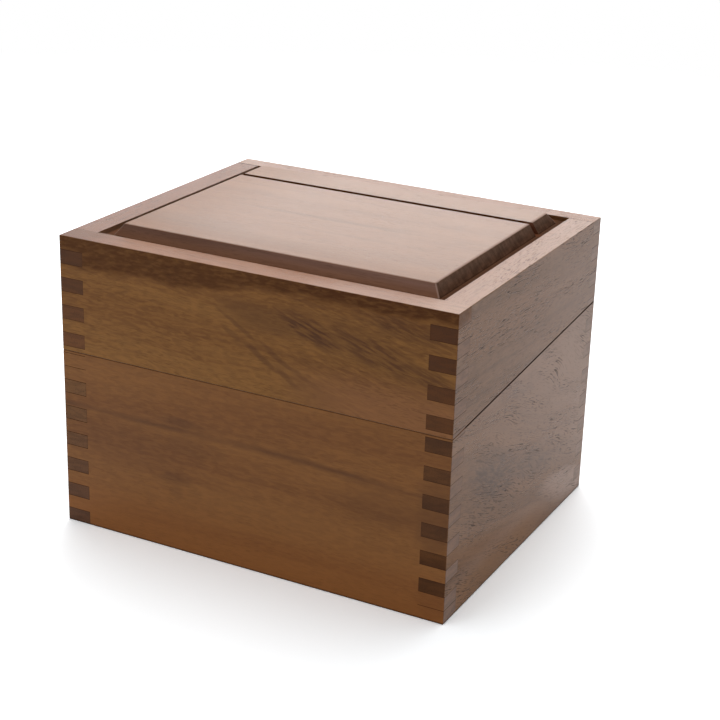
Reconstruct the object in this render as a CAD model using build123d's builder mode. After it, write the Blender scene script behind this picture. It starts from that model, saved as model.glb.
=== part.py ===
"""Recipe card box: finger-jointed hardwood boards, a raised lid panel with a card slot, brass hinges.

The box is glued up as one tall blank and then sawn apart on a slant, so the lid is deep at the front and
shallow at the back. The fingers of base and lid therefore come from one row, with a saw kerf missing.
Millimetres, +Z up, front towards -Y. The origin is the centre of the footprint, hinge barrels included,
on the surface that the box stands on.
"""
import os
from math import atan, degrees, radians, tan

from build123d import *

# Outside of the box
box_width = 190.5           # along X
box_depth = 157.0           # along Y, front face to back face
finger_height = 6.35        # one finger of the corner joints
finger_count = 22           # fingers in the height of the blank
saw_kerf = 3.0              # height lost where the lid was sawn off
seam_front = 83.7           # height of the seam at the front face
seam_back = 96.0            # height of the seam at the back face

# Boards
side_thickness = 12.0       # left and right boards
front_thickness = 12.0
back_thickness = 9.5
corner_round = 0.4          # upright corners of the box, sanded round
edge_round = 0.35           # top and bottom outer edges
seam_chamfer = 0.25         # arris on both sides of the seam

# Floor of the base, loose in stopped grooves
floor_thickness = 6.0
floor_rise = 5.0            # underside of the floor above the table
groove_depth = 4.0          # all grooves, floor and lid
groove_play = 0.5           # room at each edge for the wood to swell
groove_slack = 0.1          # groove height over the thickness in it

# Lid panel: a raised field, a bevel down to a flat gutter, and a tongue in the frame's grooves
field_rise = 3.2            # field above the top edge of the frame
field_inset = 8.5           # field's edge in from the frame's inner faces, front and back
end_inset = 7.9             # the same at the left and right ends
gutter_depth = 1.9          # gutter below the top edge of the frame
gutter_width = 5.0          # front and back
panel_gap = 0.3             # panel's shoulder to the frame
tongue_drop = 3.6           # top of the tongue below the top edge of the frame
tongue_thickness = 4.4
arris_round = 1.2           # mitred corners of the bevel
field_round = 0.5           # edges of the field

# Card slot, a saw cut across the whole panel
slot_width = 3.4
slot_from_back = 37.4       # centre of the slot to the back face of the box
strip_drop = 0.1            # strip behind the slot below the rest of the field

# Butt hinges, let into the seam
hinge_inset = 37.25         # middle of a hinge to the near side of the box
hinge_length = 25.0
leaf_width = 7.0            # in from the back face
leaf_thickness = 1.2
pin_radius = 0.8
pin_play = 0.05             # all round the pin
knuckle_count = 5
knuckle_gap = 0.15
barrel_clearance = 0.25     # barrel to the back face
pin_head_radius = 1.3
pin_head_height = 0.6
pin_head_round = 0.36
mortise_play = 0.1          # round the leaf

# Countersunk wood screws, two to a leaf
screw_spacing = 14.0
screw_from_back = 3.9
screw_length = 8.0
screw_radius = 0.95
screw_head_radius = 1.7
screw_head_angle = 82.0
screw_head_rim = 0.15
screw_head_sink = 0.1       # head below the leaf's face
screw_tip = 1.6
screw_slot_width = 0.5
screw_slot_depth = 0.4
screw_play = 0.05           # hole over screw
screw_hole_spare = 0.5      # hole deeper than the tip

# Worked out from the sizes above
box_height = finger_height * finger_count - saw_kerf
barrel_radius = pin_radius + pin_play + leaf_thickness
pin_offset = barrel_radius + barrel_clearance
y_front = -(box_depth + pin_offset + barrel_radius) / 2
y_back = y_front + box_depth
inner_width = box_width - 2 * side_thickness
inner_depth = box_depth - front_thickness - back_thickness
inner_middle = (y_front + front_thickness + y_back - back_thickness) / 2
head_slope = tan(radians(screw_head_angle / 2))
seam_normal = Vector(0, seam_front - seam_back, box_depth).normalized()
seam = Plane(origin=(0, y_back, seam_back), x_dir=(1, 0, 0), z_dir=seam_normal)


# Who owns each finger at each corner: these belong to the side boards, the rest to the front or back
every_other = list(range(0, finger_count, 2))
last_front_finger = 2 * int(seam_front / (2 * finger_height))
last_back_finger = 2 * int(seam_back / (2 * finger_height))
side_fingers = {
    "base": {
        ("left", "front"): [n for n in every_other if n != last_front_finger],
        ("right", "front"): every_other[1:],
        ("left", "back"): every_other + [last_back_finger + 1],
        ("right", "back"): every_other + [last_back_finger + 1],
    },
    "lid": {(side, end): every_other for side in ("left", "right") for end in ("front", "back")},
}
finger_shift = {"base": 0.0, "lid": -saw_kerf}
end_thickness = {"front": front_thickness, "back": back_thickness}
side_sign = {"left": -1, "right": 1}
end_sign = {"front": -1, "back": 1}


# Outer shapes of base and lid, with their rounded edges. Every board is cut to one of them.
def outer_shape(keep):
    with BuildPart() as shape:
        with Locations((0, (y_front + y_back) / 2, 0)):
            Box(box_width, box_depth, box_height, align=(Align.CENTER, Align.CENTER, Align.MIN))
        split(bisect_by=seam, keep=keep)
        fillet(shape.edges().filter_by(Axis.Z), radius=corner_round)
        level = shape.faces().filter_by(Plane.XY)[0]
        fillet(level.edges(), radius=edge_round)
        slanted = shape.faces().filter_by(lambda face: abs(face.normal_at().dot(seam_normal)) > 0.9999)[0]
        chamfer(slanted.edges(), length=seam_chamfer)
    return shape.part


outer = {"base": outer_shape(Keep.BOTTOM), "lid": outer_shape(Keep.TOP)}


# Pockets that the grooves make together, all round the inside
def groove_ring(low, high):
    with BuildPart() as ring:
        with Locations((0, inner_middle, low)):
            Box(inner_width + 2 * groove_depth, inner_depth + 2 * groove_depth, high - low,
                align=(Align.CENTER, Align.CENTER, Align.MIN))
    return ring.part


floor_top = floor_rise + floor_thickness
tongue_top = box_height - tongue_drop
tongue_bottom = tongue_top - tongue_thickness
grooves = {
    "base": groove_ring(floor_rise, floor_top + groove_slack),
    "lid": groove_ring(tongue_bottom, tongue_top + groove_slack),
}


def corner_cell(side, end, number, body):
    """Low corner of one finger's block at one corner of the box."""
    x = -box_width / 2 if side == "left" else box_width / 2 - side_thickness
    y = y_front if end == "front" else y_back - back_thickness
    return (x, y, number * finger_height + finger_shift[body])


def board(body, face):
    """One board of the base or the lid: a full blank less the other boards' fingers and the groove."""
    low_corner = (Align.MIN, Align.MIN, Align.MIN)
    if face in end_sign:
        size = (box_width, end_thickness[face])
        place = corner_cell("left", face, 0, "base")
        corners = [(side, face) for side in side_sign]
    else:
        size = (side_thickness, box_depth)
        place = corner_cell(face, "front", 0, "base")
        corners = [(face, end) for end in end_sign]
    with BuildPart() as piece:
        with Locations(place):
            Box(*size, box_height, align=low_corner)
        for side, end in corners:
            owned = side_fingers[body][side, end]
            others = owned if face in end_sign else [n for n in range(finger_count) if n not in owned]
            with Locations(*[corner_cell(side, end, n, body) for n in others]):
                Box(side_thickness, end_thickness[end], finger_height, align=low_corner, mode=Mode.SUBTRACT)
        add(grooves[body], mode=Mode.SUBTRACT)
        add(outer[body], mode=Mode.INTERSECT)
    return piece.part


# Hinge places: local y runs back along the seam and local z out of the wood, for either leaf
def leaf_plane(side, body):
    place = (side_sign[side] * (box_width / 2 - hinge_inset), y_back, seam_back)
    turn = 1 if body == "base" else -1
    return Plane(origin=place, x_dir=(turn, 0, 0), z_dir=seam_normal * turn)


screw_places = [(x, -screw_from_back) for x in (-screw_spacing / 2, screw_spacing / 2)]


def screw_holes(depth):
    """Countersunk holes for one leaf's screws, from the leaf's face down."""
    sink_radius = screw_head_radius + screw_play + (screw_head_sink + screw_head_rim) * head_slope
    with Locations(*screw_places):
        CounterSinkHole(screw_radius + screw_play, sink_radius, depth, screw_head_angle)


def let_in_hinge(blank, body):
    """The back board with a mortise and pilot holes for each hinge leaf."""
    with BuildPart() as piece:
        add(blank)
        for side in side_sign:
            plane = leaf_plane(side, body)
            with Locations(plane):
                with Locations((0, -leaf_width - mortise_play, -leaf_thickness)):
                    Box(hinge_length + 2 * mortise_play, leaf_width + mortise_play + pin_offset,
                        2 * leaf_thickness, align=(Align.CENTER, Align.MIN, Align.MIN), mode=Mode.SUBTRACT)
                screw_holes(screw_length + screw_hole_spare)
    return piece.part


def leaf(side, body):
    """One brass leaf: a countersunk plate rolled into knuckles round the pin."""
    pitch = hinge_length / knuckle_count
    first = 0 if body == "base" else 1
    knuckles = [(n + 0.5) * pitch - hinge_length / 2 for n in range(first, knuckle_count, 2)]
    knuckle_length = pitch - knuckle_gap
    with BuildPart() as piece:
        with Locations(leaf_plane(side, body)):
            with Locations((0, -leaf_width, 0)):
                Box(hinge_length, leaf_width, leaf_thickness, align=(Align.CENTER, Align.MIN, Align.MAX))
            with Locations(*[(x, -leaf_width / 2, 0) for x in knuckles]):
                Box(knuckle_length, leaf_width / 2 + pin_offset, leaf_thickness,
                    align=(Align.CENTER, Align.MIN, Align.MAX))
            with Locations(*[(x, pin_offset, 0) for x in knuckles]):
                Cylinder(barrel_radius, knuckle_length, rotation=(0, 90, 0))
            with Locations((0, pin_offset, 0)):
                Cylinder(pin_radius + pin_play, hinge_length, rotation=(0, 90, 0), mode=Mode.SUBTRACT)
            screw_holes(leaf_thickness)
    return piece.part


def hinge_pin(side):
    """A pin with a low button head at each end, resting in the base leaf's knuckles."""
    with BuildPart() as piece:
        with Locations(leaf_plane(side, "base")):
            with Locations((0, pin_offset, 0)):
                Cylinder(pin_radius, hinge_length, rotation=(0, 90, 0))
            head_middle = (hinge_length + pin_head_height) / 2
            with Locations((-head_middle, pin_offset, 0), (head_middle, pin_offset, 0)):
                Cylinder(pin_head_radius, pin_head_height, rotation=(0, 90, 0))
        ends = piece.faces().filter_by(Axis.X).sort_by(Axis.X)
        fillet([ends[0].edge(), ends[-1].edge()], radius=pin_head_round)
    return piece.part


def wood_screw():
    """One slotted countersunk screw, head up, with the leaf's face at the origin."""
    cone_height = (screw_head_radius - screw_radius) / head_slope
    rim = -screw_head_sink - screw_head_rim
    with BuildPart() as piece:
        with BuildSketch(Plane.XZ):
            with BuildLine():
                Polyline(
                    (0, -screw_head_sink),
                    (screw_head_radius, -screw_head_sink),
                    (screw_head_radius, rim),
                    (screw_radius, rim - cone_height),
                    (screw_radius, screw_tip - screw_length),
                    (0, -screw_length),
                    close=True,
                )
            make_face()
        revolve(axis=Axis.Z)
        with Locations((0, 0, -screw_head_sink)):
            Box(2 * screw_head_radius, screw_slot_width, 2 * screw_slot_depth, mode=Mode.SUBTRACT)
    return piece.part


screw = wood_screw()


def screw_pair(side, body):
    """The two screws of one leaf."""
    with BuildPart() as piece:
        with Locations(leaf_plane(side, body)):
            with Locations(*screw_places):
                add(screw)
    return piece.part


# The floor of the base
with BuildPart() as bottom_panel:
    with Locations((0, inner_middle, floor_rise)):
        Box(inner_width + 2 * (groove_depth - groove_play), inner_depth + 2 * (groove_depth - groove_play),
            floor_thickness, align=(Align.CENTER, Align.CENTER, Align.MIN))


# The lid panel
def centred_block(margin, low, high):
    """A block inside the lid frame, its sides `margin` in from the frame's inner faces."""
    with Locations((0, inner_middle, low)):
        Box(inner_width - 2 * margin, inner_depth - 2 * margin, high - low,
            align=(Align.CENTER, Align.CENTER, Align.MIN))


gutter = box_height - gutter_depth
field = box_height + field_rise
bevel_lean = degrees(atan((field_inset - gutter_width) / (field - gutter)))
slot_middle = y_back - slot_from_back
with BuildPart() as lid_panel:
    centred_block(groove_play - groove_depth, tongue_bottom, tongue_top)
    centred_block(panel_gap, tongue_bottom, gutter)
    with BuildSketch(Plane.XY.offset(gutter)):
        with Locations((0, inner_middle)):
            end_gutter = gutter_width - field_inset + end_inset
            Rectangle(inner_width - 2 * end_gutter, inner_depth - 2 * gutter_width)
    extrude(amount=field - gutter, taper=bevel_lean)
    bevel_edges = lid_panel.edges().filter_by(lambda edge: edge.center().Z > gutter)
    mitres = bevel_edges.filter_by(lambda edge: abs(edge.tangent_at().Z) > 0.3)
    fillet(mitres, radius=arris_round)
    with Locations((0, slot_middle, field - strip_drop)):
        Box(inner_width, inner_depth, field, align=(Align.CENTER, Align.MIN, Align.MIN), mode=Mode.SUBTRACT)
    with Locations((0, slot_middle, gutter)):
        Box(inner_width, slot_width, field, align=(Align.CENTER, Align.CENTER, Align.MIN), mode=Mode.SUBTRACT)
    tops = lid_panel.faces().filter_by(Plane.XY).filter_by(lambda face: face.center().Z > gutter + strip_drop)
    rims = tops.edges().filter_by(lambda edge: abs(edge.center().Y - slot_middle) > slot_width)
    fillet(rims, radius=field_round)


# The pieces, each under its own name
pieces = {"bottom_panel": bottom_panel.part, "lid_panel": lid_panel.part}
for body in ("base", "lid"):
    for face in ("front", "left", "right"):
        pieces[f"{body}_{face}_board"] = board(body, face)
    pieces[f"{body}_back_board"] = let_in_hinge(board(body, "back"), body)
    for side in side_sign:
        pieces[f"{side}_hinge_{body}_leaf"] = leaf(side, body)
        pieces[f"{side}_hinge_{body}_screws"] = screw_pair(side, body)
for side in side_sign:
    pieces[f"{side}_hinge_pin"] = hinge_pin(side)

os.makedirs("parts", exist_ok=True)
for name, piece in pieces.items():
    piece.label = name
    export_step(piece, f"parts/{name}.step")
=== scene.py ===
"""Recipe card box of oiled hardwood: finish of every board, the lid panel, the floor and the hinges."""

from math import cos, radians, sin

import bpy
import numpy as np
from mathutils import Matrix, Vector


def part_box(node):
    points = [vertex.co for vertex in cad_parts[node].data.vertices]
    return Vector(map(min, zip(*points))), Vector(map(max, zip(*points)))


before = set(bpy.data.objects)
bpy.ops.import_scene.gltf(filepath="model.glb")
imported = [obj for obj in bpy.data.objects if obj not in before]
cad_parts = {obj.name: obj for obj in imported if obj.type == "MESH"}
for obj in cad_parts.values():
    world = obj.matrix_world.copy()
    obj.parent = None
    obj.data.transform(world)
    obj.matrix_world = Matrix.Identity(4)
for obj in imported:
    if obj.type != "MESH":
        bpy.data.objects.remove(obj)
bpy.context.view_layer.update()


# The camera stands to the right of the box and a little above it, at the distance of a product picture.
# It looks back along the line that its azimuth and elevation give, with a slight roll.
camera_aim = Vector((-0.0011, 0.0248, 0.0631))
camera_distance = 0.8153
azimuth, elevation, roll = radians(27.11), radians(21.23), radians(1.77)
away = Vector((sin(azimuth) * cos(elevation), -cos(azimuth) * cos(elevation), sin(elevation)))
right = Vector((cos(azimuth), sin(azimuth), 0.0))
up = away.cross(right)
camera = bpy.data.objects.new("camera", bpy.data.cameras.new("camera"))
camera.data.lens = 85.68
camera.data.sensor_width = 36.0
turned = Matrix((right * cos(roll) + up * sin(roll), up * cos(roll) - right * sin(roll), away)).transposed()
camera.matrix_world = Matrix.Translation(camera_aim + away * camera_distance) @ turned.to_4x4()
bpy.context.scene.collection.objects.link(camera)
bpy.context.scene.camera = camera


# The studio: a plain pale floor, white all round, and soft lamps at a plain level. The high and the low lamp
# stand behind the box, so tops shine and the shadow falls forwards. The third fills in the front.
bpy.context.scene.view_settings.view_transform = "Standard"


class Wire:
    """A shader socket that can stand in a sum: each operator adds the Math node for it."""

    def __init__(self, finish, socket):
        self.finish = finish
        self.socket = socket

    def math(self, operation, *values):
        """A Math node, its values in order."""
        return self.finish.node("Math", {"operation": operation}, dict(enumerate(values)))

    def __add__(self, other):
        return self.math("ADD", self, other)

    def __radd__(self, other):
        return self.math("ADD", other, self)

    def __sub__(self, other):
        return self.math("SUBTRACT", self, other)

    def __rsub__(self, other):
        return self.math("SUBTRACT", other, self)

    def __mul__(self, other):
        return self.math("MULTIPLY", self, other)

    def __truediv__(self, other):
        return self.math("DIVIDE", self, other)

    def __pow__(self, other):
        return self.math("POWER", self, other)

    def __abs__(self):
        return self.math("ABSOLUTE", self)

    def most(self, other):
        """The larger of the two."""
        return self.math("MAXIMUM", self, other)

    def ramp(self, low, high):
        """0 at low and 1 at high, with soft ends. It falls instead where low is the larger."""
        sockets = {"Value": self, "From Min": low, "From Max": high}
        if low > high:
            sockets.update({"From Min": high, "From Max": low, "To Min": 1.0, "To Max": 0.0})
        return self.finish.node("MapRange", {"interpolation_type": "SMOOTHSTEP"}, sockets)


class Finish:
    """A material, or the studio's world, being wired up. One method adds any node."""

    def __init__(self, name, kind=bpy.data.materials):
        self.owner = kind.new(name)
        self.owner.use_nodes = True
        self.tree = self.owner.node_tree
        self.tree.nodes.clear()

    def node(self, kind, settings=None, sockets=None, output=0):
        """Adds a node, sets its settings first, then the values or links of its sockets."""
        made = self.tree.nodes.new("ShaderNode" + kind)
        for key, value in (settings or {}).items():
            setattr(made, key, value)
        for key, value in (sockets or {}).items():
            if isinstance(value, Wire):
                self.tree.links.new(value.socket, made.inputs[key])
            else:
                made.inputs[key].default_value = value
        return Wire(self, made.outputs[output]) if made.outputs else None

    def blend(self, amount, one, other):
        """One colour at amount 0, the other at 1."""
        return self.node("Mix", {"data_type": "RGBA"}, {0: amount, 6: one, 7: other}, output=2)

    def place(self):
        """Object coordinates in millimetres, as three values."""
        where = self.node("TexCoord", output=3)
        scaled = self.node("VectorMath", {"operation": "SCALE"}, {0: where, "Scale": 1000.0})
        return self.split(scaled)

    def split(self, vector):
        """A vector's three parts."""
        parts = self.node("SeparateXYZ", sockets={0: vector})
        return [parts] + [Wire(self, parts.socket.node.outputs[n]) for n in (1, 2)]

    def noise(self, x, y, z, detail=2.0, roughness=0.5, distortion=0.0):
        """Cloudy noise about 0.5, read at a point whose coordinates are already scaled."""
        point = self.node("CombineXYZ", sockets={0: x, 1: y, 2: z})
        sockets = {"Vector": point, "Scale": 1.0, "Detail": detail, "Roughness": roughness,
                   "Distortion": distortion}
        return self.node("TexNoise", sockets=sockets)

    def background_ray(self):
        """1 where the camera looks, straight, in metal or through glass, and 0 where light only bounces."""
        straight = self.node("LightPath", output="Is Camera Ray")
        in_metal = self.node("LightPath", output="Is Glossy Ray")
        through_glass = self.node("LightPath", output="Is Transmission Ray")
        return straight.most(in_metal).most(through_glass)

    def surface(self, shader):
        """The finished material, closed with this shader."""
        self.node("OutputMaterial", sockets={"Surface": shader})
        return self.owner


floor_half = 4.0
floor_grey = (0.80, 0.80, 0.80, 1.0)
floor_white = (1.41, 1.447, 1.474, 1.0)
floor_mesh = bpy.data.meshes.new("studio_floor")
corners = np.array([(-1, -1, 0), (1, -1, 0), (1, 1, 0), (-1, 1, 0)]) * floor_half
floor_mesh.from_pydata(corners.tolist(), [], [(0, 1, 2, 3)])
studio_floor = bpy.data.objects.new("studio_floor", floor_mesh)
bpy.context.scene.collection.objects.link(studio_floor)
paper = Finish("pale_floor")
seen = paper.background_ray()
paper_colour = paper.blend(seen, floor_grey, floor_white)
matte = paper.node("BsdfDiffuse", sockets={"Color": paper_colour})
backdrop = paper.node("Emission", sockets={"Color": (1.0, 1.0, 1.0, 1.0), "Strength": 1.0})
x, y = paper.place()[:2]
far_off = ((x * x + y * y) ** 0.5).ramp(450.0, 1100.0) * seen
fading = paper.node("MixShader", sockets={0: far_off, 1: matte, 2: backdrop})
floor_mesh.materials.append(paper.surface(fading))

ambient = 0.37
studio = Finish("studio", bpy.data.worlds)
whiteness = studio.background_ray() * (1.0 - ambient) + ambient
sky = studio.node("Background", sockets={"Color": (1.0, 1.0, 1.0, 1.0), "Strength": whiteness})
studio.node("OutputWorld", sockets={"Surface": sky})
bpy.context.scene.world = studio.owner


def softbox(name, lamp_azimuth, lamp_elevation, distance, width, height, radiance):
    """An area lamp that looks at the box. Its power follows from its size and how bright its face is."""
    lamp = bpy.data.lights.new(name, "AREA")
    lamp.shape = "RECTANGLE"
    lamp.size, lamp.size_y = width, height
    lamp.energy = radiance * np.pi * width * height
    turn, tilt = radians(lamp_azimuth), radians(lamp_elevation)
    out = Vector((sin(turn) * cos(tilt), -cos(turn) * cos(tilt), sin(tilt)))
    holder = bpy.data.objects.new(name, lamp)
    holder.location = camera_aim + out * distance
    holder.rotation_euler = out.to_track_quat("Z", "Y").to_euler()
    bpy.context.scene.collection.objects.link(holder)


softbox("high_softbox", 200.0, 76.0, distance=1.5, width=1.6, height=1.6, radiance=2.14)
softbox("low_softbox", 201.0, 20.0, distance=1.6, width=1.3, height=0.6, radiance=4.75)
softbox("front_fill", -25.0, 25.0, distance=2.2, width=1.2, height=1.2, radiance=1.84)


# The front of the base is a plain, quiet board of oiled hardwood, its grain along the box. One soft dark
# streak runs across it, and it turns redder towards the bottom. Its ends are fingers of the corner joints.
finger_height = 6.35
saw_kerf = 3.0
front_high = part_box("base_front_board")[1] * 1000.0
back_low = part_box("base_back_board")[0] * 1000.0
side_low, side_high = (corner * 1000.0 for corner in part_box("base_right_board"))
lid_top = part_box("lid_right_board")[1].z * 1000.0
seam_slope = (side_high.z - front_high.z) / (side_high.y - front_high.y)
# Dark brown of the open pores and glue lines. It is also the colour of the painted shade in the seam, the
# card slot, the gutter and at the foot.
pore_and_shade_brown = (0.030, 0.011, 0.004, 1.0)


class Board(Finish):
    """Hardwood being grained. Its axes say which way is along, across and through the board, in millimetres.

    Slope tilts the grain by that much across for each millimetre along, and wander bends it."""

    def __init__(self, name, axes, seed, slope=0.0, wander=5.0):
        super().__init__(name)
        self.lifted = saw_kerf if name.startswith("lid") else 0.0
        self.x, self.y, self.z = self.place()
        places = {"x": self.x, "y": self.y, "z": self.z}
        self.along, across, self.through = [places[axis] for axis in axes]
        self.normal = [abs(part) for part in self.split(self.node("TexCoord", output=1))]
        self.across_grain = self.normal["xyz".index(axes[0])].ramp(0.55, 0.85)
        self.on_top = self.normal[2].ramp(0.80, 0.97)
        self.seed = seed
        drift = self.noise(self.along / 85.0, across / 30.0 + seed, self.through / 30.0, detail=1.0) - 0.5
        self.across = across + self.along * slope + drift * wander

    def streaks(self, length, width, detail=2.0, shift=0.0, twist=0.0):
        """Noise drawn out along the grain, its features that long and wide in millimetres."""
        return self.noise(self.along / length + shift, self.across / width + self.seed,
                          self.through / width + shift, detail, distortion=twist)

    def smudges(self, rows, up, ragged=5.0):
        """Soft ellipses. A row is the middle along and up, half length, half height, tilt and strength."""
        stir = (self.noise(self.along / 12.0, up / 5.0, self.through / 9.0, 2.0) - 0.5) * ragged
        total = None
        for u, v, length, height, tilt, strength in rows:
            turn = radians(tilt)
            right = self.along - u
            rise = up - v + stir
            far = (right * cos(turn) + rise * sin(turn)) / length
            off = (rise * cos(turn) - right * sin(turn)) / height
            spot = (far * far + off * off).ramp(1.0, 0.0) * strength
            total = spot if total is None else total.most(spot)
        return total

    def joint_lines(self, lowest, highest):
        """Thin glue lines round the fingers, between finger numbers lowest and highest."""
        number = (self.z + self.lifted) / finger_height
        level = abs(number - number.math("ROUND", number)) * finger_height
        corner = abs(self.x).ramp(side_low.x - 0.05, side_low.x + 0.05)
        front = self.y.ramp(front_high.y + 0.05, front_high.y - 0.05)
        back = self.y.ramp(back_low.y - 0.05, back_low.y + 0.05)
        fits = number.ramp(lowest - 0.01, lowest + 0.01) * number.ramp(highest + 0.01, highest - 0.01)
        return level.ramp(0.16, 0.06) * corner * (front + back) * fits

    def finger_foot(self, facing):
        """The glue line at the inner end of the fingers that other boards show on a face turned to x or y."""
        if facing == "y":
            inner = abs(self.x).ramp(side_low.x + 0.25, side_low.x + 0.10)
            return inner * self.normal[1].ramp(0.8, 0.95)
        inner = self.y.ramp(front_high.y - 0.25, front_high.y - 0.10) * (self.y * -1.0).ramp(0.0, 1.0)
        inner = inner.most(self.y.ramp(back_low.y + 0.25, back_low.y + 0.10) * self.y.ramp(0.0, 1.0))
        return inner * self.normal[0].ramp(0.8, 0.95)

    def seam_gap_shade(self, half):
        """Painted shade in the gap along the seam, left off the mating faces themselves."""
        above = self.z - (self.y - front_high.y) * seam_slope - front_high.z
        return abs(above).ramp(half, half * 0.5) * self.normal[2].ramp(0.97, 0.85)

    def joints_and_painted_shade(self, lowest, highest, facing, glue=1.0, foot=0.5, seam_half=0.6, seam=1.0):
        """All the thin dark lines: glue lines round the fingers, and painted shade along the seam and at the
        foot of the box.
        """
        lines = (self.joint_lines(lowest, highest) * glue).most(self.finger_foot(facing) * foot)
        # Painted shade along the lowest millimetre of each board, where it meets the floor.
        foot_shade = self.z.ramp(1.1, 0.3) * self.normal[2].ramp(0.9, 0.6)
        return lines.most(self.seam_gap_shade(seam_half) * seam).most(foot_shade * 0.8)

    def oiled(self, light, middle, dark, end, figure=None, lines=None, veins=0.35, pores=0.6, dashes=0.25,
              curls=0.3, dash_length=5.0, dash_width=0.7, edge=None, patch_and_painted_light=None, dull=0.0):
        """The closed material: broad bands, curl, veins, the board's own figure, dashes, pores, end grain.

        Edge is the colour of a lid board's top edge, which carries a painted sheen. The patch pair is a place
        with its colour: a worn or cut place, a painted reflection on the right side of the base and the sides
        of the lid, and a painted highlight on the lid panel too. Lines are the thin dark ones: glue lines of
        the joints, and painted shade in the seam, the card slot, the gutter and at the foot. Dull says where
        the oil has no shine."""
        bands = self.streaks(230.0, 11.0, 3.0).ramp(0.36, 0.64)
        colour = self.blend(bands, middle, light)
        curl = self.streaks(6.0, 1.5, 2.0, 8.8, 0.6).ramp(0.32, 0.68)
        colour = self.blend(curl * curls, colour, light)
        colour = self.blend((1.0 - curl) * (curls * 0.5), colour, dark)
        vein = self.streaks(150.0, 2.4, 3.0, 3.1).ramp(0.52, 0.74)
        colour = self.blend(vein * veins, colour, dark)
        if figure is not None:
            colour = self.blend(figure, colour, dark)
        if patch_and_painted_light is not None:
            colour = self.blend(patch_and_painted_light[0], colour, patch_and_painted_light[1])
        if edge is not None:
            grain = self.streaks(16.0, 1.3, 3.0, 4.4).ramp(0.45, 0.75) * 0.3
            top = self.on_top * self.z.ramp(lid_top - 1.2, lid_top - 0.6)
            colour = self.blend(top, colour, self.blend(grain, edge, dark))
        patches = self.streaks(40.0, 12.0, 1.0, 7.7).ramp(0.34, 0.62)
        dash = self.streaks(dash_length, dash_width, 1.0, 5.3).ramp(0.58, 0.68) * patches
        dash = dash * (1.0 - self.on_top * 0.6) * dashes
        pore = self.streaks(4.0, 0.42, 0.0, 9.2).ramp(0.60, 0.70) * (patches * 0.6 + 0.4) * pores
        open_grain = dash.most(pore)
        colour = self.blend(open_grain, colour, pore_and_shade_brown)
        speckle = self.noise(self.along / 3.0, self.across / 0.5, self.through / 0.5, 1.0).ramp(0.5, 0.7)
        rings = self.noise(self.along / 90.0, self.across / 2.2, self.through / 9.0, 2.0).ramp(0.4, 0.6)
        cut = self.blend(speckle * 0.3 + rings * 0.25, end, pore_and_shade_brown)
        colour = self.blend(self.across_grain, colour, cut)
        if lines is not None:
            colour = self.blend(lines, colour, pore_and_shade_brown)
        fibre = self.streaks(9.0, 0.25, 1.0, 2.2)
        height = (1.0 - self.across_grain) * (fibre * 0.25 - open_grain)
        bump = self.node("Bump", sockets={"Strength": 0.7, "Distance": 0.0001, "Height": height})
        rough = 0.40 + fibre * 0.10 + open_grain * 0.2 + self.across_grain * 0.08
        shader = self.node("BsdfPrincipled", sockets={
            "Base Color": colour, "Roughness": rough, "Normal": bump, "IOR": 1.25,
            "Sheen Weight": 0.8, "Sheen Roughness": 0.3})
        unpolished = (open_grain * (1.0 - self.across_grain) * 0.45).most(dull)
        if lines is not None:
            unpolished = unpolished.most(lines * 0.9)
        dry = self.node("BsdfDiffuse", sockets={"Color": colour})
        return self.surface(self.node("MixShader", sockets={0: unpolished, 1: shader, 2: dry}))


def dress(node, material):
    """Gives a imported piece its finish."""
    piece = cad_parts[node]
    piece.data.materials.clear()
    piece.data.materials.append(material)


front_end = (0.205, 0.092, 0.042, 1.0)

board = Board("base_front_wood", "xzy", 11.3)
streak_height = 58.6 - board.x.ramp(10.0, 95.0) * 3.0
wavering = (board.streaks(30.0, 30.0, 2.0, 1.3) - 0.5) * 2.0
thread = abs(board.z - streak_height + wavering).ramp(2.3, 0.0)
thread = thread * (board.streaks(30.0, 20.0, 2.0, 4.0).ramp(0.30, 0.55) * 0.5 + 0.5)
smudge = board.smudges((
    (-33.0, 61.5, 15.0, 3.2, 0.0, 0.45), (-28.0, 52.0, 20.0, 7.0, 0.0, 0.25),
    (-60.0, 45.0, 45.0, 18.0, 0.0, 0.15), (-37.0, 35.0, 11.0, 5.0, 5.0, 0.40),
    (-36.0, 28.0, 5.0, 4.0, 0.0, 0.25), (24.0, 58.5, 12.0, 3.5, 0.0, 0.30),
    (58.0, 56.0, 28.0, 3.5, -3.0, 0.26), (68.0, 46.0, 36.0, 12.0, 0.0, 0.30),
    (90.0, 47.0, 14.0, 24.0, 0.0, 0.52), (90.0, 9.0, 10.0, 9.0, 0.0, 0.48)), board.z)
dress("base_front_board", board.oiled(
    light=(0.240, 0.099, 0.027, 1.0), middle=(0.178, 0.067, 0.018, 1.0), dark=(0.085, 0.031, 0.011, 1.0),
    end=front_end, figure=(thread * 0.65).most(smudge), veins=0.12, pores=0.15, dashes=0.08, curls=0.4,
    lines=board.joints_and_painted_shade(0.5, 13.5, "x", foot=0.4, seam_half=0.4, seam=0.45),
    patch_and_painted_light=(board.z.ramp(34.0, 0.0) * 0.55, (0.262, 0.086, 0.015, 1.0))))


# The back of the base is a thinner board of the same wood, its grain along the box. It is finger-jointed to
# the sides, and mortised along its top edge for the hinge leaves.
back_end = (0.290, 0.170, 0.118, 1.0)

board = Board("base_back_wood", "xzy", 31.7)
dress("base_back_board", board.oiled(
    light=(0.205, 0.092, 0.030, 1.0), middle=(0.160, 0.066, 0.020, 1.0), dark=(0.095, 0.038, 0.014, 1.0),
    end=board.blend(board.x.ramp(-10.0, 10.0), front_end, back_end),
    lines=board.joints_and_painted_shade(0.5, 14.5, "x", foot=0.4)))


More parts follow.
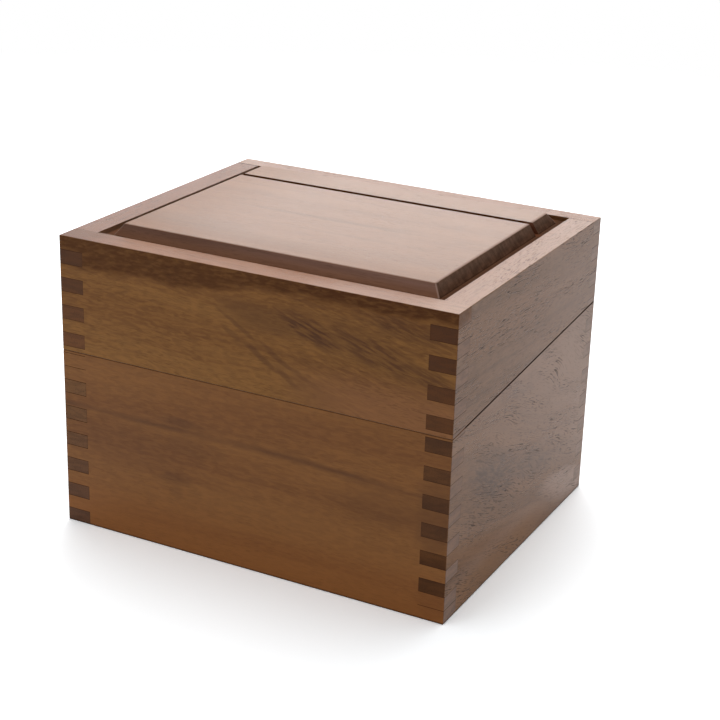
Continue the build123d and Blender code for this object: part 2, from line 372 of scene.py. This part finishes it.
# The left side of the base is a board with long dark pores, its grain from front to back. The ends of its
# fingers show at the front corner, darker towards the foot.
board = Board("base_left_wood", "yzx", 51.1, 0.05, 14.0)
dress("base_left_board", board.oiled(
    light=(0.21, 0.096, 0.036, 1.0), middle=(0.15, 0.064, 0.024, 1.0), dark=(0.055, 0.021, 0.008, 1.0),
    end=board.blend(board.z.ramp(80.0, 0.0), (0.175, 0.078, 0.027, 1.0), (0.105, 0.042, 0.018, 1.0)),
    veins=0.4, pores=0.6, dashes=0.8, dash_length=8.0, lines=board.joints_and_painted_shade(0.5, 14.5, "y")))


# The right side of the base is a pale, open-pored board, its grain sloping down to the back. A dim figure
# swirls across its middle. A pinkish painted reflection grows towards its upper back, the same pale colour
# sweeps along its far foot, and its near foot is painted warmer and less shiny, as painted shade in that
# reflection.
board = Board("base_right_wood", "yzx", 64.9, 0.3, 18.0)
warm = (board.z + board.y * 0.25).ramp(26.0, 8.0)
near_foot_shade = board.z.ramp(22.0, 8.0) * board.y.ramp(55.0, 0.0)
painted_reflection_colour = board.blend(near_foot_shade, (0.40, 0.26, 0.20, 1.0), (0.30, 0.145, 0.062, 1.0))
painted_reflection = (board.y * 0.6 + board.z).ramp(0.0, 110.0)
sweep = board.smudges((
    (54.0, 11.0, 45.0, 11.0, -15.0, 1.0), (75.0, 50.0, 40.0, 50.0, 0.0, 0.6)), board.z, 3.0)
swirl = board.smudges((
    (-35.0, 50.0, 36.0, 13.0, -20.0, 0.6), (10.0, 38.0, 32.0, 9.0, -15.0, 0.5),
    (-10.0, 82.0, 32.0, 6.0, -8.0, 0.4)), board.z, 9.0)
swirl = swirl * (board.streaks(5.5, 1.3, 2.0, 6.1, 0.5).ramp(0.36, 0.62) * 1.05 + 0.45)
pale_finger = 66.7
patch = board.noise(board.y / 9.0, board.z / 14.0, 0.0, 1.0).ramp(0.35, 0.65)
patch = patch.most(abs(board.z - pale_finger).ramp(3.8, 2.6))
side_dull = 0.20
dress("base_right_board", board.oiled(
    light=(0.24, 0.113, 0.048, 1.0), middle=(0.172, 0.077, 0.029, 1.0), dark=(0.070, 0.030, 0.014, 1.0),
    end=board.blend(patch, (0.067, 0.025, 0.009, 1.0), (0.106, 0.041, 0.013, 1.0)),
    figure=swirl, patch_and_painted_light=((painted_reflection * 0.6).most(sweep).most(near_foot_shade * 0.7), painted_reflection_colour),
    veins=0.3, pores=0.45, dashes=0.75, dash_length=7.0, dash_width=0.48,
    dull=(warm * board.y.ramp(70.0, 25.0) * 0.5).most(swirl * 0.25).most(side_dull),
    lines=board.joints_and_painted_shade(0.5, 14.5, "y", glue=0.6, foot=0.35)))


# The floor of the box is a thin panel of the same wood. It lies loose in stopped grooves in the four boards,
# with room to swell, so it has no glue lines.
board = Board("bottom_wood", "xyz", 71.0)
dress("bottom_panel", board.oiled(
    light=(0.205, 0.092, 0.030, 1.0), middle=(0.160, 0.066, 0.020, 1.0), dark=(0.095, 0.038, 0.014, 1.0),
    end=(0.12, 0.05, 0.02, 1.0)))


# The front of the lid was sawn off the same board as the front of the base, but it is lively: a dark mottled
# band along its top, two slanting strokes, and a streaky cloud on the right. Its top edge is paler, a painted
# sheen, with painted shade towards the left end and painted light towards the right end.
# Top edge colours: a painted sheen, with painted shade and painted light for its two ends.
rim_edge_sheen = (0.275, 0.108, 0.042, 1.0)
rim_painted_light = (0.335, 0.165, 0.090, 1.0)
rim_painted_shade = (0.150, 0.052, 0.018, 1.0)

board = Board("lid_front_wood", "xzy", 5.9, 0.03, 8.0)
band_foot = 124.2 + board.x.ramp(-38.0, 12.0) * 6.5 + (board.streaks(18.0, 6.0, 3.0, 1.9) - 0.5) * 6.0
mottle = board.noise(board.x / 4.2 - board.z / 5.0, board.z / 1.5, board.y / 2.0, 3.0, distortion=0.35)
band = (board.z - band_foot).ramp(-1.8, 2.0) * (1.0 - mottle.ramp(0.38, 0.68) * 0.34)
band = band * (board.x.ramp(-10.0, 35.0) * 0.10 + 0.93)
foot = abs(board.z - band_foot - 1.0).ramp(2.4, 0.0) * board.x.ramp(35.0, 0.0)
strokes = board.smudges((
    (-8.0, 109.0, 7.0, 1.8, -30.0, 0.40), (7.0, 100.5, 13.0, 1.9, -33.0, 0.55),
    (20.0, 93.5, 11.0, 1.9, -30.0, 0.50), (-5.0, 113.0, 17.0, 1.6, -32.0, 0.45),
    (15.0, 102.0, 15.0, 1.8, -30.0, 0.50), (30.0, 94.0, 15.0, 2.0, -28.0, 0.45),
    (33.0, 90.0, 20.0, 6.5, -25.0, 0.30), (8.0, 118.0, 30.0, 8.0, -8.0, 0.45)), board.z, 3.0)
cloud = board.smudges((
    (30.0, 117.0, 24.0, 7.5, -18.0, 1.0), (60.0, 113.0, 32.0, 9.0, -17.0, 0.9),
    (86.0, 106.0, 18.0, 7.0, -22.0, 0.8), (72.0, 126.0, 30.0, 6.0, -8.0, 0.75)), board.z)
slanting = board.noise((board.x * 0.95 - board.z * 0.31) / 9.0, (board.x * 0.31 + board.z * 0.95) / 1.1,
                       board.y / 2.0, 3.0).ramp(0.36, 0.62)
cloud = cloud * (slanting * 0.62 + 0.40)
cloud = cloud.most(slanting * board.x.ramp(-5.0, 45.0) * 0.30)
# Painted shade towards the left end of the top edge and painted light towards the right end.
rim_sheen = board.blend(board.x.ramp(-55.0, -88.0) * 0.9, rim_edge_sheen, rim_painted_shade)
rim_sheen = board.blend(board.x.ramp(62.0, 88.0), rim_sheen, rim_painted_light)
dress("lid_front_board", board.oiled(
    light=(0.250, 0.110, 0.026, 1.0), middle=(0.185, 0.072, 0.014, 1.0), dark=(0.060, 0.018, 0.004, 1.0),
    end=front_end, figure=(band * 0.88).most(foot * 0.5).most(strokes).most(cloud * 0.9),
    veins=0.12, pores=0.25, dashes=0.2, curls=0.5, edge=rim_sheen,
    lines=board.joints_and_painted_shade(13.5, 21.5, "x", foot=0.4, seam_half=0.4, seam=0.45),
    patch_and_painted_light=(board.x.ramp(5.0, 60.0) * board.z.ramp(108.0, 92.0) * 0.6, (0.250, 0.104, 0.044, 1.0)),
    dull=(band * (1.0 - board.on_top) * 0.5).most(board.on_top * board.x.ramp(55.0, 15.0) * 0.35)))


# The back of the lid is the other half of the back board. It is shallow, and its lower edge is mortised for
# the upper hinge leaves.
board = Board("lid_back_wood", "xzy", 91.5)
dress("lid_back_board", board.oiled(
    light=(0.205, 0.092, 0.030, 1.0), middle=(0.160, 0.066, 0.020, 1.0), dark=(0.095, 0.038, 0.014, 1.0),
    end=board.blend(board.x.ramp(-10.0, 10.0), front_end, back_end), edge=rim_edge_sheen,
    lines=board.joints_and_painted_shade(15.5, 21.5, "x", foot=0.4)))


# The sides of the lid are sawn off the side boards, and their grain runs from front to back. The glue line
# where each butts against the back board shows on top, and is clearer on the left.
# Each row: side, seed, glue, the upper and lower end grain colours, the top edge colour as a painted sheen
# (paler on the right), and how matt the top is.
lid_sides = (
    ("left", 15.1, 0.8, (0.083, 0.028, 0.007, 1.0), (0.145, 0.053, 0.015, 1.0),
     (0.20, 0.065, 0.020, 1.0), 0.2),
    ("right", 24.9, 0.35, (0.075, 0.023, 0.004, 1.0), (0.101, 0.034, 0.007, 1.0),
     (0.305, 0.145, 0.078, 1.0), 0.0))
for side, seed, glue, end_high, end_low, rim_sheen, matt in lid_sides:
    board = Board(f"lid_{side}_wood", "yzx", seed, 0.06, 6.0)
    butt = board.y.ramp(back_low.y - 1.2, back_low.y - 0.5) * board.normal[2].ramp(0.8, 0.95) * glue
    face = board.normal[0].ramp(0.5, 0.9)
    dress(f"lid_{side}_board", board.oiled(
        light=(0.245, 0.120, 0.058, 1.0), middle=(0.18, 0.084, 0.036, 1.0), dark=(0.070, 0.030, 0.014, 1.0),
        end=board.blend(board.z.ramp(125.0, 88.0), end_high, end_low), veins=0.3, pores=0.45, dashes=0.75,
        dash_length=7.0, dash_width=0.48, edge=rim_sheen, dull=(board.on_top * matt).most(face * side_dull),
        # A pinkish painted sheen that grows towards the back of each side.
        patch_and_painted_light=(board.y.ramp(-60.0, 80.0) * 0.3, (0.37, 0.24, 0.19, 1.0)),
        lines=board.joints_and_painted_shade(13.5, 21.5, "y", glue=0.6, foot=0.35).most(butt)))


# The lid panel is raised and fielded from one wide board, its grain along the box, and its tongue is loose in
# the lid's grooves. Its bevels are cut dull and dark, the gutter and the card slot, a plain saw cut, are
# darkened with painted shade, and the bevels' mitres on the right carry a painted highlight.
slot_from_back = 37.4
slot_half = 1.7
gutter_depth = 1.9
field_inset = 8.5
cut_end = (0.060, 0.024, 0.010, 1.0)
cut_end_light = (0.115, 0.050, 0.026, 1.0)

board = Board("lid_panel_wood", "xyz", 44.4)
field_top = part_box("lid_panel")[1].z * 1000.0
slot_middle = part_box("base_back_board")[1].y * 1000.0 - slot_from_back
gutter_floor = lid_top - gutter_depth
field_front = front_high.y + field_inset
field_right = side_low.x - field_inset
outside = board.z.ramp(gutter_floor - 0.6, gutter_floor - 0.2)
tilted = board.normal[2].ramp(0.97, 0.80) * board.z.ramp(field_top - 0.02, field_top - 0.2)
moulded = board.z.ramp(field_top - 0.5, field_top - 1.1).most(tilted) * outside
rubbed = board.y.ramp(field_front + 1.7, field_front + 0.2)
rubbed = rubbed.most(board.x.ramp(field_right - 1.15, field_right + 0.45)) * 0.55
# Painted highlight on the mitres where the bevels turn the corners on the right.
corner_highlight = board.normal[0].ramp(0.20, 0.38) * board.normal[1].ramp(0.20, 0.38) * board.x.ramp(-5.0, 5.0) * 0.35
rise = board.z.ramp(gutter_floor + 0.3, field_top - 0.3)
to_right = board.x.ramp(-60.0, 60.0)
bevel_foot = board.blend(to_right, (0.175, 0.078, 0.041, 1.0), (0.195, 0.087, 0.047, 1.0))
bevel_top = board.blend(to_right, (0.124, 0.061, 0.041, 1.0), (0.185, 0.098, 0.072, 1.0))
bevel = board.blend(rise, bevel_foot, bevel_top)
bevel_grain = board.streaks(40.0, 1.6, 3.0, 2.6).ramp(0.35, 0.70) * 0.25
bevel = board.blend(bevel_grain, bevel, (0.07, 0.028, 0.015, 1.0))
# Painted shade down in the card slot, a dark red-brown, weaker at the notch by the right end of the field.
slot_shade = abs(board.y - slot_middle).ramp(slot_half + 0.25, slot_half + 0.05)
slot_shade = slot_shade * board.z.ramp(field_top - 0.12, field_top - 0.3)
slot_shade = slot_shade * (1.0 - board.x.ramp(field_right - 3.75, field_right - 1.75) * 0.5)
bevel = board.blend(slot_shade, bevel, (0.33, 0.10, 0.041, 1.0))
# Painted shade in the gutter round the field, deeper on the right side.
gutter_shade = board.z.ramp(gutter_floor + 0.5, gutter_floor + 0.1) * outside
shaded = board.x.ramp(field_right + 0.25, field_right + 5.25) * 0.40 + 0.28
grey = board.noise(board.x / 22.0, board.y / 9.0, 0.0, 2.0).ramp(0.48, 0.72)
# Faint smudges: a dark streak across the middle, and painted shade near the front and the left end, where the
# top catches less sheen.
faint = board.smudges((
    (0.0, -5.5, 62.0, 2.5, 0.0, 0.35), (45.0, -40.0, 45.0, 9.0, 3.0, 0.15),
    (-20.0, -48.0, 95.0, 10.0, 0.0, 0.20), (-52.0, -42.0, 42.0, 13.0, 0.0, 0.32)), board.y)
dim = board.x.ramp(-20.0, -90.0) * 0.3 + board.y.ramp(-36.0, -56.0) * 0.14
mottle = board.noise(board.y / 6.0, board.z / 2.0, 0.0, 2.0).ramp(0.3, 0.7)
sawn = board.blend(rise * 0.55, board.blend(mottle, cut_end, cut_end_light), (0.16, 0.10, 0.07, 1.0))
unoiled = (moulded * 0.55).most(rubbed).most(dim).most(slot_shade)
dress("lid_panel", board.oiled(
    light=(0.275, 0.122, 0.052, 1.0), middle=(0.250, 0.108, 0.046, 1.0), dark=(0.110, 0.048, 0.022, 1.0),
    end=sawn, figure=faint.most(grey * 0.16), veins=0.2, pores=0.2, dashes=0.1, curls=0.15,
    patch_and_painted_light=(moulded.most(rubbed), board.blend(corner_highlight, bevel, (0.42, 0.30, 0.25, 1.0))),
    lines=(slot_shade * 0.82).most(gutter_shade * shaded) * outside,
    dull=unoiled.most(board.across_grain * 0.85).most(gutter_shade * 0.95)))


# Two butt hinges of satin brass, let into the seam at the back: leaves and knuckles of rolled plate, a pin
# with low button heads, and slotted screws. Brushed along the box, and a little browned in patches.
brass = Finish("hinge_brass")
x, y, z = brass.place()
brushed = brass.noise(x / 7.0, y / 0.12, z / 0.12, 2.0)
browned = brass.noise(x / 5.0, y / 4.0, z / 4.0, 3.0).ramp(0.42, 0.72)
brass_colour = brass.blend(browned * 0.6, (0.60, 0.41, 0.17, 1.0), (0.33, 0.20, 0.08, 1.0))
brass_rough = 0.24 + brushed * 0.16 + browned * 0.18
brass_bump = brass.node("Bump", sockets={"Strength": 0.4, "Distance": 0.00003, "Height": brushed})
brass_shader = brass.node("BsdfPrincipled", sockets={
    "Base Color": brass_colour, "Metallic": 1.0, "Roughness": brass_rough, "Normal": brass_bump})
brass_finish = brass.surface(brass_shader)
for side in ("left", "right"):
    for part in ("base_leaf", "lid_leaf", "pin", "base_screws", "lid_screws"):
        dress(f"{side}_hinge_{part}", brass_finish)
